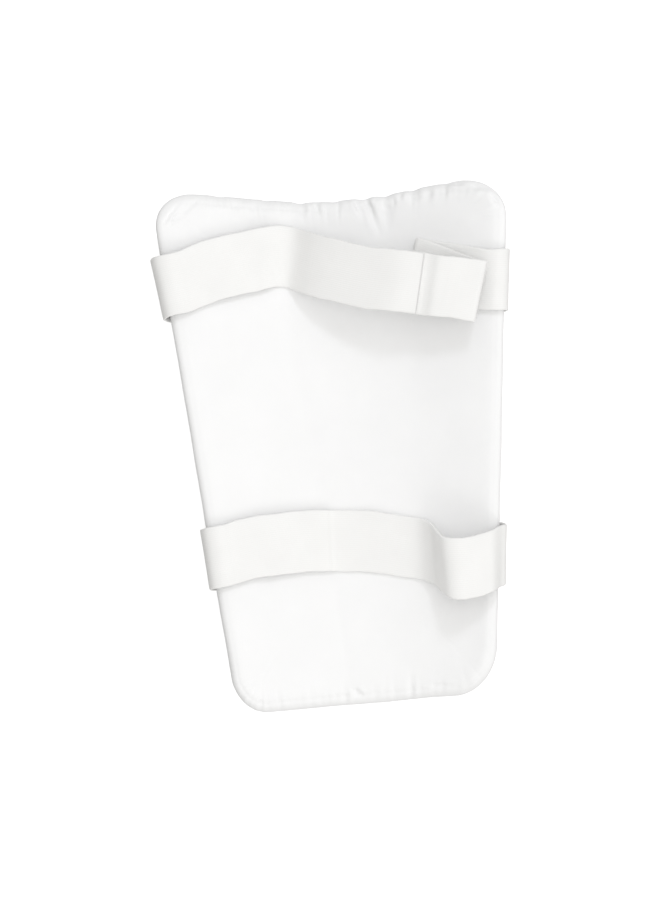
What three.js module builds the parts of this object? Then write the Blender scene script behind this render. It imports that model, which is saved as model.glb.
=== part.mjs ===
import * as THREE from 'three';
import { mergeVertices } from 'three/addons/utils/BufferGeometryUtils.js';

// Cricket thigh guard, lying on its front with its back and its straps up.
// Millimetres, +Z up, +Y toward the top of the pad, +X to the right seen from above.

// Pad
const padLength = 330.5; // bottom edge to the level of the top corners
const padTopWidth = 227; // the two sides, run on to the top edge
const padBottomWidth = 165; // the two sides, run on to the bottom edge
const padThickness = 18;
const rimDepth = 12; // how far in from the outline the padding rounds over
const troughDepth = 28; // rise of the side rims over the middle, at the top edge
const restFlattening = 1.2; // how far the cloth of the front is pressed flat where it rests
const topDip = 10.3; // how far the top edge dips between its corners
const topTilt = 4; // how much higher the left top corner is than the right one
const bottomTilt = 2.4; // how much lower the left bottom corner is than the right one
const gatherDepth = 2.4; // depth of the deepest gather in the cloth along the top edge
const topLeftRadius = 23;
const topRightRadius = 28;
const bottomLeftRadius = 24;
const bottomRightRadius = 31;

// Straps
const strapWidth = 39;
const strapThickness = 1.8;
const upperLoopHeight = 28; // slack of the upper strap over the back
const lowerLoopHeight = 21; // height of the lower strap's loop over the back
const rimSlack = 2.6; // how far a loose strap stands off the rim
const foldRadius = 1.7; // bend of a folded strap, to the middle of the webbing
const joinOverlap = 18; // length of the tab under the end of the upper strap

// Touch-fastener patches on the front
const patchLength = 32;
const patchWidth = 35;
const patchThickness = 1.5;

// Clearance between pieces that touch
const gap = 0.3;

// Materials
const cover = { color: 0xf3f3f6, roughness: 0.9 };
const webbing = { color: 0xedece4, roughness: 0.85 };
const loopTape = { color: 0xe8e8e4, roughness: 0.95 };

const LEFT = -1;
const RIGHT = 1;
const BACK = 90; // turn round the rim in degrees: 90 on the back, 0 outermost, -90 on the front
const FRONT = -90;
const halfLength = padLength / 2;
const radians = THREE.MathUtils.degToRad;

// Shape of the pad
function halfWidthAt(y) {
  const share = (y + halfLength) / padLength;
  return THREE.MathUtils.lerp(padBottomWidth, padTopWidth, share) / 2;
}

function troughAt(x) {
  return troughDepth * (x / (padTopWidth / 2)) ** 2 - restFlattening;
}

function troughSlope(x) {
  return (2 * troughDepth * x) / (padTopWidth / 2) ** 2;
}

// height of the padding's surface: side 1 is the back, -1 the front, 0 halfway
function padHeight(x, side) {
  const front = Math.max(0, troughAt(x));
  const back = troughAt(x) + padThickness;
  return THREE.MathUtils.lerp(front, back, (side + 1) / 2);
}

// Gathers in the cloth along the top edge: place and width as shares of the half width, depth as a
// share of the deepest, and reach down the pad as a share of its half length
const gathers = [
  { across: -0.62, width: 0.03, depth: 0.45, reach: 0.05 },
  { across: -0.36, width: 0.025, depth: 0.5, reach: 0.06 },
  { across: -0.17, width: 0.03, depth: 0.85, reach: 0.09 },
  { across: 0.02, width: 0.03, depth: 0.6, reach: 0.08 },
  { across: 0.19, width: 0.035, depth: 1, reach: 0.13 },
  { across: 0.31, width: 0.035, depth: 1, reach: 0.2 },
  { across: 0.47, width: 0.03, depth: 0.7, reach: 0.07 },
  { across: 0.66, width: 0.03, depth: 0.5, reach: 0.05 },
];

function gatherAt(across, up) {
  const depths = gathers.map((gather) => {
    const beside = Math.exp(-(((across - gather.across) / gather.width) ** 2));
    return gather.depth * beside * THREE.MathUtils.smoothstep(up, 1 - gather.reach, 1);
  });
  return gatherDepth * depths.reduce((sum, depth) => sum + depth, 0);
}

// The outline is a rectangle with round corners, drawn inset by any depth, then tapered and dipped.
const corners = [
  { x: 1, y: 1, radius: topRightRadius },
  { x: -1, y: 1, radius: topLeftRadius },
  { x: -1, y: -1, radius: bottomLeftRadius },
  { x: 1, y: -1, radius: bottomRightRadius },
];
const cornerSteps = 7;
const straightSteps = [44, 10, 12, 10]; // along the top, left, bottom and right
const leastRadius = 2;

function insetRectangle(inset) {
  const middleWidth = halfWidthAt(0);
  const points = [];
  corners.forEach((corner, n) => {
    const radius = Math.max(leastRadius, corner.radius - inset);
    const centre = new THREE.Vector2(
      corner.x * (middleWidth - inset - radius),
      corner.y * (halfLength - inset - radius),
    );
    for (let i = 0; i <= cornerSteps; i++) {
      const angle = (n + i / cornerSteps) * (Math.PI / 2);
      points.push(new THREE.Vector2(Math.cos(angle), Math.sin(angle)).multiplyScalar(radius).add(centre));
    }
  });
  return points;
}

function withStraights(points) {
  const out = [];
  const perCorner = cornerSteps + 1;
  points.forEach((point, n) => {
    out.push(point);
    if (n % perCorner !== cornerSteps) {
      return;
    }
    const next = points[(n + 1) % points.length];
    const steps = straightSteps[Math.floor(n / perCorner)];
    for (let i = 1; i < steps; i++) {
      out.push(point.clone().lerp(next, i / steps));
    }
  });
  return out;
}

function taperAndDip(point) {
  const across = point.x / halfWidthAt(0);
  const up = point.y / halfLength;
  const dip = (topDip * (1 + Math.cos(Math.PI * across))) / 2 + (topTilt * across) / 2;
  const drop = (-bottomTilt * across) / 2;
  const y = point.y - dip * Math.max(0, up) ** 2 - drop * Math.min(0, up) ** 2 - gatherAt(across, up) / 2;
  return new THREE.Vector2(across * halfWidthAt(y), y);
}

function padRing(inset, side) {
  return withStraights(insetRectangle(inset)).map((point) => {
    const { x, y } = taperAndDip(point);
    const gather = gatherAt(point.x / halfWidthAt(0), point.y / halfLength) * Math.max(0, side);
    return new THREE.Vector3(x, y, padHeight(x, side) - gather);
  });
}

// Solids from rings of points, each ring as long as the last
function solidFromRings(rings) {
  const count = rings[0].length;
  const positions = rings.flat();
  const faces = [];
  for (let r = 0; r + 1 < rings.length; r++) {
    for (let i = 0; i < count; i++) {
      const j = (i + 1) % count;
      const [a, b, c, d] = [r * count + i, r * count + j, (r + 1) * count + j, (r + 1) * count + i];
      faces.push(a, b, c, a, c, d);
    }
  }
  for (const [ring, turned] of [[0, true], [rings.length - 1, false]]) {
    const centre = positions.length;
    const sum = rings[ring].reduce((total, point) => total.add(point), new THREE.Vector3());
    positions.push(sum.divideScalar(count));
    for (let i = 0; i < count; i++) {
      const [a, b] = [ring * count + i, ring * count + ((i + 1) % count)];
      faces.push(...(turned ? [centre, b, a] : [centre, a, b]));
    }
  }
  return new THREE.BufferGeometry().setFromPoints(positions).setIndex(faces);
}

function padGeometry() {
  const rimSteps = 8;
  const insideShares = [0.82, 0.64, 0.44, 0.22];
  const inside = (share) => rimDepth + share * (halfWidthAt(0) - rimDepth);
  const rings = insideShares.map((share) => padRing(inside(share), -1));
  for (let i = 0; i <= rimSteps; i++) {
    const turn = radians(FRONT + (i * (BACK - FRONT)) / rimSteps);
    rings.push(padRing(rimDepth * (1 - Math.cos(turn)), Math.sin(turn)));
  }
  rings.push(...insideShares.toReversed().map((share) => padRing(inside(share), 1)));
  return solidFromRings(rings);
}

// A place on the pad's skin: across and up are shares of its half width and half length. On the rim,
// turn says how far round its edge the place lies.
function onPad({ across, up, turn = BACK, rim = false }) {
  const y = up * halfLength;
  const side = Math.sign(across);
  const round = rim ? Math.cos(radians(turn)) : 0;
  const reach = halfWidthAt(y);
  const x = rim ? side * (reach - rimDepth * (1 - round)) : across * reach;
  const skin = new THREE.Vector3(x, y, padHeight(x, Math.sin(radians(turn))));
  const taper = (padTopWidth - padBottomWidth) / 2 / padLength;
  const slope = troughSlope(x);
  const off = new THREE.Vector3(-slope, 0, 1).normalize().multiplyScalar(Math.sin(radians(turn)));
  const sideways = new THREE.Vector3(side, -taper, side * slope).normalize();
  return { skin, outward: off.addScaledVector(sideways, round).normalize() };
}

// Straps. A row of a route is a place on the pad, with the strap's lift above it as a share of the
// loop's height, its slack off the rim as a share of the rim slack, the lean of its width from +Y, and
// the flare of its upper edge off the rim, both in degrees. The upper strap is cut off at one row, and
// its tab runs on from there.
function aroundRim(side, { from, to, upFrom, upTo, lean, slack, flare = 0 }) {
  const steps = 6;
  return Array.from({ length: steps + 1 }, (_, i) => {
    const share = i / steps;
    const turn = THREE.MathUtils.lerp(from, to, share);
    const up = THREE.MathUtils.lerp(upFrom, upTo, share);
    const round = Math.cos(radians(turn / 2)) ** 2;
    return { across: side, up, turn, lean, slack: slack * round, flare: flare * round, rim: true };
  });
}

const upperRoute = [
  { across: -0.55, up: 0.5908, turn: FRONT, lean: 6 },
  { across: -0.72, up: 0.6056, turn: FRONT, lean: 4 },
  ...aroundRim(LEFT, { from: FRONT, to: BACK, upFrom: 0.6244, upTo: 0.668, lean: -8, slack: 1.5, flare: 3 }),
  { across: -0.8, up: 0.6877, lift: 0.05, lean: -12 },
  { across: -0.64, up: 0.7115, lift: 0.11, lean: -12 },
  { across: -0.48, up: 0.7293, lift: 0.09, lean: -6 },
  { across: -0.41, up: 0.735, lift: 0.095, lean: 0 },
  { across: -0.33, up: 0.7397, lift: 0.01, lean: 4 },
  { across: -0.275, up: 0.7328, lift: 0, lean: 7 },
  { across: -0.235, up: 0.7253, lift: 0.06, lean: 10 },
  { across: -0.13, up: 0.6967, lift: 0.42, lean: 12 },
  { across: -0.03, up: 0.6729, lift: 0.65, lean: 12 },
  { across: 0.19, up: 0.6304, lift: 0.9, lean: 12 },
  { across: 0.356, up: 0.6096, lift: 0.99, lean: 12 },
  { across: 0.5, up: 0.5925, lift: 0.9, lean: 12, cutEnd: true },
  { across: 0.54, up: 0.586, lift: 0.9, lean: 13 },
  { across: 0.58, up: 0.5815, lift: 0.9, lean: 13 },
  { across: 0.64, up: 0.5745, lift: 0.82, lean: 14 },
  { across: 0.72, up: 0.565, lift: 0.72, lean: 15 },
  { across: 0.835, up: 0.5477, lift: 0.49, lean: 16, fold: RIGHT },
  { across: 0.65, up: 0.6007, lift: 0.25, lean: 17 },
  { across: 0.462, up: 0.6551, lift: 0.075, lean: 17, fold: LEFT },
  { across: 0.67, up: 0.622, lift: 0.01, lean: 12 },
  { across: 0.8, up: 0.604, lift: 0.01, lean: 11 },
  ...aroundRim(RIGHT, { from: BACK, to: FRONT, upFrom: 0.59, upTo: 0.58, lean: 8, slack: 0.15 }),
  { across: 0.84, up: 0.58, turn: FRONT, lean: 4, onPatch: true },
  { across: 0.56, up: 0.58, turn: FRONT, lean: 0, onPatch: true },
];

const lowerRoute = [
  { across: -0.5, up: -0.4303, turn: FRONT, lean: 0 },
  { across: -0.7, up: -0.4204, turn: FRONT, lean: -1 },
  ...aroundRim(LEFT, { from: FRONT, to: BACK, upFrom: -0.412, upTo: -0.387, lean: -4, slack: 0.8 }),
  { across: -0.8, up: -0.3788, lift: 0.06, lean: -4 },
  { across: -0.64, up: -0.365, lift: 0.13, lean: -3 },
  { across: -0.4, up: -0.36, lift: 0.11, lean: 0 },
  { across: -0.21, up: -0.3615, lift: 0.07, lean: 1 },
  { across: -0.15, up: -0.3635, lift: 0.01, lean: 2 },
  { across: 0.075, up: -0.3764, lift: 0.02, lean: 4 },
  { across: 0.3, up: -0.4006, lift: 0.02, lean: 4 },
  { across: 0.45, up: -0.4194, lift: 0.05, lean: 3 },
  { across: 0.53, up: -0.4402, lift: 0.3, lean: 1 },
  { across: 0.585, up: -0.4723, lift: 0.7, lean: -1 },
  { across: 0.64, up: -0.4966, lift: 0.98, lean: -2 },
  { across: 0.72, up: -0.5045, lift: 0.97, lean: -1 },
  { across: 0.84, up: -0.5015, lift: 0.66, lean: 1 },
  { across: 0.95, up: -0.4837, lift: 0.36, lean: 3 },
  ...aroundRim(RIGHT, { from: 30, to: FRONT, upFrom: -0.4659, upTo: -0.4521, lean: 4, slack: 1 }),
  { across: 0.83, up: -0.4481, turn: FRONT, lean: 2, onPatch: true },
  { across: 0.58, up: -0.4402, turn: FRONT, lean: 0, onPatch: true },
];

// The width of the webbing lies on the pad, and comes level between two lifts.
const levelFrom = 0.1;
const levelBy = 0.3;

function widthDirection(row, outward) {
  const width = new THREE.Vector3(Math.sin(radians(row.lean)), Math.cos(radians(row.lean)), 0);
  const hold = 1 - THREE.MathUtils.smoothstep(row.lift ?? 0, levelFrom, levelBy);
  width.addScaledVector(outward, -hold * width.dot(outward));
  return width.addScaledVector(outward, Math.tan(radians(row.flare ?? 0))).normalize();
}

// The middle of the webbing at one row, or the round end of a fold
function stationsOf(row, loopHeight) {
  const { skin, outward } = onPad(row);
  const under = row.onPatch ? patchThickness + gap : 0;
  const stand = strapThickness / 2 + gap + under + (row.slack ?? 0) * rimSlack;
  const middle = skin.addScaledVector(outward, stand);
  middle.z += (row.lift ?? 0) * loopHeight;
  const width = widthDirection(row, outward);
  if (!row.fold) {
    return [{ middle, width, cutEnd: row.cutEnd }];
  }
  const along = new THREE.Vector3(width.y, -width.x, 0).normalize().multiplyScalar(row.fold * foldRadius);
  const steps = 6;
  return Array.from({ length: steps + 1 }, (_, i) => {
    const turn = Math.PI * (i / steps);
    const place = middle.clone().addScaledVector(along, Math.sin(turn));
    place.z += foldRadius * Math.cos(turn);
    return { middle: place, width };
  });
}

// Samples along a route: middle, width direction, direction out of the webbing, and length so far. The
// cut length is where one strap ends and another runs on.
function sampleRoute(route, loopHeight) {
  const stations = route.flatMap((row) => stationsOf(row, loopHeight));
  const curve = new THREE.CatmullRomCurve3(stations.map((station) => station.middle), false, 'centripetal');
  const steps = 4;
  const last = stations.length - 1;
  const samples = [];
  let cutLength = 0;
  for (let i = 0; i <= last * steps; i++) {
    const share = i / (last * steps);
    const n = Math.min(last - 1, Math.floor(i / steps));
    const width = stations[n].width.clone().lerp(stations[n + 1].width, i / steps - n).normalize();
    const along = curve.getTangent(share);
    const middle = curve.getPoint(share);
    const before = samples.at(-1);
    const length = before ? before.length + before.middle.distanceTo(middle) : 0;
    samples.push({ middle, width, out: along.clone().cross(width).normalize(), length });
    if (stations[i / steps]?.cutEnd) {
      cutLength = length;
    }
  }
  return { samples, cutLength };
}

function ribbonGeometry(samples) {
  const rings = samples.map(({ middle, width, out }) => {
    const halfWidth = width.clone().multiplyScalar(strapWidth / 2);
    const halfThickness = out.clone().multiplyScalar(strapThickness / 2);
    const corner = (w, t) => middle.clone().addScaledVector(halfWidth, w).addScaledVector(halfThickness, t);
    return [corner(-1, -1), corner(-1, 1), corner(1, 1), corner(1, -1)];
  });
  return solidFromRings(rings);
}

// The tab lies under the end of the upper strap, and comes up to the route just past it.
function sunkUnder(samples, cutLength) {
  return samples.map((sample) => {
    const past = THREE.MathUtils.smoothstep(sample.length, cutLength, cutLength + joinOverlap);
    const sink = (1 - past) * (strapThickness + gap);
    return { ...sample, middle: sample.middle.clone().addScaledVector(sample.out, -sink) };
  });
}

// A patch hugs the front of the pad
function patchGeometry({ across, up }) {
  const middle = onPad({ across, up, turn: FRONT }).skin;
  const steps = 8;
  const rings = Array.from({ length: steps + 1 }, (_, i) => {
    const x = middle.x + patchLength * (i / steps - 0.5);
    const share = x / halfWidthAt(middle.y);
    const { skin, outward } = onPad({ across: share, up, turn: FRONT });
    const corner = (side, depth) =>
      skin.clone().addScaledVector(outward, depth).add(new THREE.Vector3(0, (side * patchWidth) / 2, 0));
    const low = gap + patchThickness;
    return [corner(-1, gap), corner(1, gap), corner(1, low), corner(-1, low)];
  });
  return solidFromRings(rings);
}

const weldDistance = 1e-4;

function outwardFaces(geometry) {
  const merged = mergeVertices(geometry, weldDistance);
  const index = merged.index.array;
  const place = merged.attributes.position;
  const [a, b, c] = [new THREE.Vector3(), new THREE.Vector3(), new THREE.Vector3()];
  let volume = 0;
  for (let i = 0; i < index.length; i += 3) {
    [a, b, c].forEach((corner, k) => corner.fromBufferAttribute(place, index[i + k]));
    volume += a.dot(b.cross(c));
  }
  if (volume < 0) {
    for (let i = 0; i < index.length; i += 3) {
      [index[i], index[i + 1]] = [index[i + 1], index[i]];
    }
  }
  merged.computeVertexNormals();
  return merged;
}

function piece(name, geometry, finish) {
  const material = new THREE.MeshStandardMaterial({ ...finish, metalness: 0 });
  const mesh = new THREE.Mesh(outwardFaces(geometry), material);
  mesh.name = name;
  return mesh;
}

function upperStraps() {
  const { samples, cutLength } = sampleRoute(upperRoute, upperLoopHeight);
  const strap = samples.filter((sample) => sample.length <= cutLength);
  const tab = samples.filter((sample) => sample.length >= cutLength - joinOverlap);
  const group = new THREE.Group();
  group.add(piece('upper_strap', ribbonGeometry(strap), webbing));
  group.add(piece('upper_strap_tab', ribbonGeometry(sunkUnder(tab, cutLength)), webbing));
  return group;
}

function lowerStrap() {
  const { samples } = sampleRoute(lowerRoute, lowerLoopHeight);
  return piece('lower_strap', ribbonGeometry(samples), webbing);
}

// Each patch is level with the end of its strap.
const patches = [
  { name: 'upper_fastener_patch', across: 0.66, route: upperRoute },
  { name: 'lower_fastener_patch', across: 0.63, route: lowerRoute },
];

function fastenerPatches() {
  const group = new THREE.Group();
  for (const { name, across, route } of patches) {
    group.add(piece(name, patchGeometry({ across, up: route.at(-1).up }), loopTape));
  }
  return group;
}

// The guard, with the middle of its lowest face at the origin
const guard = new THREE.Group();
guard.add(piece('pad', padGeometry(), cover));
guard.add(upperStraps());
guard.add(lowerStrap());
guard.add(fastenerPatches());
const extent = new THREE.Box3().setFromObject(guard);
const middle = extent.getCenter(new THREE.Vector3());
guard.position.set(-middle.x, -middle.y, -extent.min.z);

export default guard;
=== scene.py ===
import math

import bpy
import numpy as np
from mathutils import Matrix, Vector
from mathutils.bvhtree import BVHTree


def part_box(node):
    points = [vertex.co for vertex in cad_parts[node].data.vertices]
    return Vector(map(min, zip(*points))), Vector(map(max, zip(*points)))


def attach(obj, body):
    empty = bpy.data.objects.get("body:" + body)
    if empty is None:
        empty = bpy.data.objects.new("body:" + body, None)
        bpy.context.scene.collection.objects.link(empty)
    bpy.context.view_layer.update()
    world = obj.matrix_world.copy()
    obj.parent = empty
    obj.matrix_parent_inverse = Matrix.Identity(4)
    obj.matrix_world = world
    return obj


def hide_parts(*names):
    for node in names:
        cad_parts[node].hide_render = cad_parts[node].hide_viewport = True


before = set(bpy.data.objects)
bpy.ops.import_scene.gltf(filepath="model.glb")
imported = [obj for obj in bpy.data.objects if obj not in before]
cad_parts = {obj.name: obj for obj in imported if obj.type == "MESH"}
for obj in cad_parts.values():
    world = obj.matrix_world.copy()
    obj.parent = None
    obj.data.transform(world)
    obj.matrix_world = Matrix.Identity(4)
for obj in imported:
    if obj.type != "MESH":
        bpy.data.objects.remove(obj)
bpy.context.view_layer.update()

# Everything is in metres, +Z up, +Y toward the top of the pad. The guard lies on its front.
MM = 0.001

# Pad
PAD_LENGTH = 330.5 * MM
PAD_TOP_WIDTH = 227 * MM
PAD_BOTTOM_WIDTH = 165 * MM
PAD_THICKNESS = 18 * MM
RIM_DEPTH = 12 * MM
TROUGH_DEPTH = 28 * MM
REST_FLATTENING = 1.2 * MM
TOP_DIP = 10.3 * MM
TOP_TILT = 4 * MM
BOTTOM_TILT = 2.4 * MM
GATHER_DEPTH = 2.4 * MM
LEAST_RADIUS = 2 * MM
HALF_LENGTH = PAD_LENGTH / 2
MIDDLE_HALF_WIDTH = (PAD_BOTTOM_WIDTH + PAD_TOP_WIDTH) / 4

# Straps
STRAP_WIDTH = 39 * MM
STRAP_THICKNESS = 1.8 * MM
UPPER_LOOP_HEIGHT = 28 * MM
LOWER_LOOP_HEIGHT = 21 * MM
RIM_SLACK = 2.6 * MM
FOLD_RADIUS = 1.7 * MM
JOIN_OVERLAP = 18 * MM

# Touch-fastener patches
PATCH_LENGTH = 32 * MM
PATCH_WIDTH = 35 * MM
PATCH_THICKNESS = 1.5 * MM

GAP = 0.3 * MM
LEFT, RIGHT = -1, 1
FRONT, BACK = -90, 90


def smoothstep(value, low, high):
    share = np.clip((value - low) / (high - low), 0, 1)
    return share * share * (3 - 2 * share)


def lerp(a, b, share):
    return a + (b - a) * share


def unit(vectors):
    return vectors / np.maximum(np.linalg.norm(vectors, axis=-1, keepdims=True), 1e-12)


# Shape of the pad, before any wrinkle
def half_width_at(y):
    return lerp(PAD_BOTTOM_WIDTH, PAD_TOP_WIDTH, (y + HALF_LENGTH) / PAD_LENGTH) / 2


def trough_at(x):
    return TROUGH_DEPTH * (x / (PAD_TOP_WIDTH / 2)) ** 2 - REST_FLATTENING


def trough_slope(x):
    return 2 * TROUGH_DEPTH * x / (PAD_TOP_WIDTH / 2) ** 2


def pad_height(x, side):
    """Height of the padding's surface: side 1 is the back, -1 the front, 0 halfway."""
    front = np.maximum(0, trough_at(x))
    back = trough_at(x) + PAD_THICKNESS
    return lerp(front, back, (side + 1) / 2)


# Gathers along the top edge: place and width as shares of the half width, depth as a share of the
# deepest, and reach down the pad as a share of its half length
GATHERS = (
    {"across": -0.62, "width": 0.03, "depth": 0.45, "reach": 0.05},
    {"across": -0.36, "width": 0.025, "depth": 0.5, "reach": 0.06},
    {"across": -0.17, "width": 0.03, "depth": 0.85, "reach": 0.09},
    {"across": 0.02, "width": 0.03, "depth": 0.6, "reach": 0.08},
    {"across": 0.19, "width": 0.035, "depth": 1, "reach": 0.13},
    {"across": 0.31, "width": 0.035, "depth": 1, "reach": 0.2},
    {"across": 0.47, "width": 0.03, "depth": 0.7, "reach": 0.07},
    {"across": 0.66, "width": 0.03, "depth": 0.5, "reach": 0.05},
)


def gather_at(across, up):
    total = np.zeros_like(across)
    for gather in GATHERS:
        beside = np.exp(-(((across - gather["across"]) / gather["width"]) ** 2))
        total += gather["depth"] * beside * smoothstep(up, 1 - gather["reach"], 1)
    return GATHER_DEPTH * total


# Corners in the order that the outline meets them, with the steps along the straight after each
CORNERS = (
    {"x": 1, "y": 1, "radius": 28 * MM, "straight": 230},
    {"x": -1, "y": 1, "radius": 23 * MM, "straight": 130},
    {"x": -1, "y": -1, "radius": 24 * MM, "straight": 90},
    {"x": 1, "y": -1, "radius": 31 * MM, "straight": 130},
)
CORNER_STEPS = 24


def inset_rectangle(inset):
    """A rectangle with round corners, inset by any depth."""
    arcs = []
    for n, corner in enumerate(CORNERS):
        radius = max(LEAST_RADIUS, corner["radius"] - inset)
        centre = np.array([
            corner["x"] * (MIDDLE_HALF_WIDTH - inset - radius),
            corner["y"] * (HALF_LENGTH - inset - radius),
        ])
        angle = (n + np.arange(CORNER_STEPS + 1) / CORNER_STEPS) * (math.pi / 2)
        arcs.append(centre + radius * np.column_stack([np.cos(angle), np.sin(angle)]))
    out = []
    for n, arc in enumerate(arcs):
        following = arcs[(n + 1) % len(arcs)][0]
        steps = CORNERS[n]["straight"]
        share = (np.arange(1, steps) / steps)[:, None]
        out += [arc, lerp(arc[-1], following, share)]
    return np.vstack(out)


def taper_and_dip(points):
    across = points[:, 0] / MIDDLE_HALF_WIDTH
    up = points[:, 1] / HALF_LENGTH
    dip = TOP_DIP * (1 + np.cos(np.pi * across)) / 2 + TOP_TILT * across / 2
    drop = -BOTTOM_TILT * across / 2
    shift = dip * np.maximum(0, up) ** 2 + drop * np.minimum(0, up) ** 2 + gather_at(across, up) / 2
    y = points[:, 1] - shift
    return across * half_width_at(y), y


def pad_ring(inset, side):
    """One ring of the pad's skin."""
    flat = inset_rectangle(inset)
    x, y = taper_and_dip(flat)
    across = flat[:, 0] / MIDDLE_HALF_WIDTH
    up = flat[:, 1] / HALF_LENGTH
    z = pad_height(x, side) - gather_at(across, up) * max(0.0, side)
    return np.column_stack([x, y, z])


# How near the innermost ring comes to the pad's middle line, and how the rings crowd at the rim
INNERMOST_RING = 0.97
RING_CROWDING = 1.15


def pad_rings(rim_steps, inside_steps):
    """Inset and side of each ring, from the middle of the front, round the rim, to that of the back."""
    shares = INNERMOST_RING * (np.arange(inside_steps, 0, -1) / inside_steps) ** RING_CROWDING
    insides = RIM_DEPTH + shares * (MIDDLE_HALF_WIDTH - RIM_DEPTH)
    turns = np.radians(np.linspace(FRONT, BACK, rim_steps + 1))
    levels = [(inset, -1.0) for inset in insides]
    levels += [(RIM_DEPTH * (1 - math.cos(turn)), math.sin(turn)) for turn in turns]
    levels += [(inset, 1.0) for inset in insides[::-1]]
    return levels


def make_mesh(name, points, faces):
    mesh = bpy.data.meshes.new(name)
    mesh.from_pydata([tuple(p) for p in points], [], faces)
    mesh.validate()
    mesh.update()
    piece = bpy.data.objects.new(name, mesh)
    bpy.context.scene.collection.objects.link(piece)
    return piece


def tube_faces(rings, count):
    """Quads between rings of as many points, one after the other."""
    faces = []
    for r in range(rings - 1):
        for i in range(count):
            j = (i + 1) % count
            faces.append((r * count + i, r * count + j, (r + 1) * count + j, (r + 1) * count + i))
    return faces


def coordinates(mesh):
    flat = np.empty(len(mesh.vertices) * 3)
    mesh.vertices.foreach_get("co", flat)
    return flat.reshape(-1, 3)


def normals(mesh):
    flat = np.empty(len(mesh.vertices) * 3)
    mesh.vertices.foreach_get("normal", flat)
    return flat.reshape(-1, 3)


def move_to(mesh, points):
    mesh.vertices.foreach_set("co", points.ravel())
    mesh.update()


# Straps. A row of a route is a place on the pad: shares across and up it, and the turn round the rim
# in degrees, from the front to the back. The strap's lift above it is a share of the loop's height,
# and its slack off the rim a share of the rim slack. The lean of its width from +Y and the flare of
# its upper edge off the rim are in degrees. A fold turns the strap back at the side that it names.
ROW = {
    "lean": 0, "lift": 0, "turn": BACK, "slack": 0, "flare": 0,
    "rim": False, "fold": 0, "on_patch": False, "cut_end": False,
}


def row(across, up, lean=0, **rest):
    return {**ROW, "across": across, "up": up, "lean": lean, **rest}


# Steps along half a turn, round the rim or round a fold
TURN_STEPS = 6


def around_rim(side, start, end, up_start, up_end, lean, slack, flare=0):
    rows = []
    for i in range(TURN_STEPS + 1):
        turn = lerp(start, end, i / TURN_STEPS)
        up = lerp(up_start, up_end, i / TURN_STEPS)
        outermost = math.cos(math.radians(turn / 2)) ** 2
        loose = {"slack": slack * outermost, "flare": flare * outermost}
        rows.append(row(side, up, lean, turn=turn, rim=True, **loose))
    return rows


UPPER_ROUTE = [
    row(-0.55, 0.5908, 6, turn=FRONT),
    row(-0.72, 0.6056, 4, turn=FRONT),
    *around_rim(LEFT, FRONT, BACK, 0.6244, 0.668, lean=-8, slack=1.5, flare=3),
    row(-0.8, 0.6877, -12, lift=0.05),
    row(-0.64, 0.7115, -12, lift=0.11),
    row(-0.48, 0.7293, -6, lift=0.09),
    row(-0.41, 0.735, 0, lift=0.095),
    row(-0.33, 0.7397, 4, lift=0.01),
    row(-0.275, 0.7328, 7, lift=0),
    row(-0.235, 0.7253, 10, lift=0.06),
    row(-0.13, 0.6967, 12, lift=0.42),
    row(-0.03, 0.6729, 12, lift=0.65),
    row(0.19, 0.6304, 12, lift=0.9),
    row(0.356, 0.6096, 12, lift=0.99),
    row(0.5, 0.5925, 12, lift=0.9, cut_end=True),
    row(0.54, 0.586, 13, lift=0.9),
    row(0.58, 0.5815, 13, lift=0.9),
    row(0.64, 0.5745, 14, lift=0.82),
    row(0.72, 0.565, 15, lift=0.72),
    row(0.835, 0.5477, 16, lift=0.49, fold=RIGHT),
    row(0.65, 0.6007, 17, lift=0.25),
    row(0.462, 0.6551, 17, lift=0.075, fold=LEFT),
    row(0.67, 0.622, 12, lift=0.01),
    row(0.8, 0.604, 11, lift=0.01),
    *around_rim(RIGHT, BACK, FRONT, 0.59, 0.58, lean=8, slack=0.15),
    row(0.84, 0.58, 4, turn=FRONT, on_patch=True),
    row(0.56, 0.58, 0, turn=FRONT, on_patch=True),
]

LOWER_ROUTE = [
    row(-0.5, -0.4303, 0, turn=FRONT),
    row(-0.7, -0.4204, -1, turn=FRONT),
    *around_rim(LEFT, FRONT, BACK, -0.412, -0.387, lean=-4, slack=0.8),
    row(-0.8, -0.3788, -4, lift=0.06),
    row(-0.64, -0.365, -3, lift=0.13),
    row(-0.4, -0.36, 0, lift=0.11),
    row(-0.21, -0.3615, 1, lift=0.07),
    row(-0.15, -0.3635, 2, lift=0.01),
    row(0.075, -0.3764, 4, lift=0.02),
    row(0.3, -0.4006, 4, lift=0.02),
    row(0.45, -0.4194, 3, lift=0.05),
    row(0.53, -0.4402, 1, lift=0.3),
    row(0.585, -0.4723, -1, lift=0.7),
    row(0.64, -0.4966, -2, lift=0.98),
    row(0.72, -0.5045, -1, lift=0.97),
    row(0.84, -0.5015, 1, lift=0.66),
    row(0.95, -0.4837, 3, lift=0.36),
    *around_rim(RIGHT, 30, FRONT, -0.4659, -0.4521, lean=4, slack=1),
    row(0.83, -0.4481, 2, turn=FRONT, on_patch=True),
    row(0.58, -0.4402, 0, turn=FRONT, on_patch=True),
]


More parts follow.
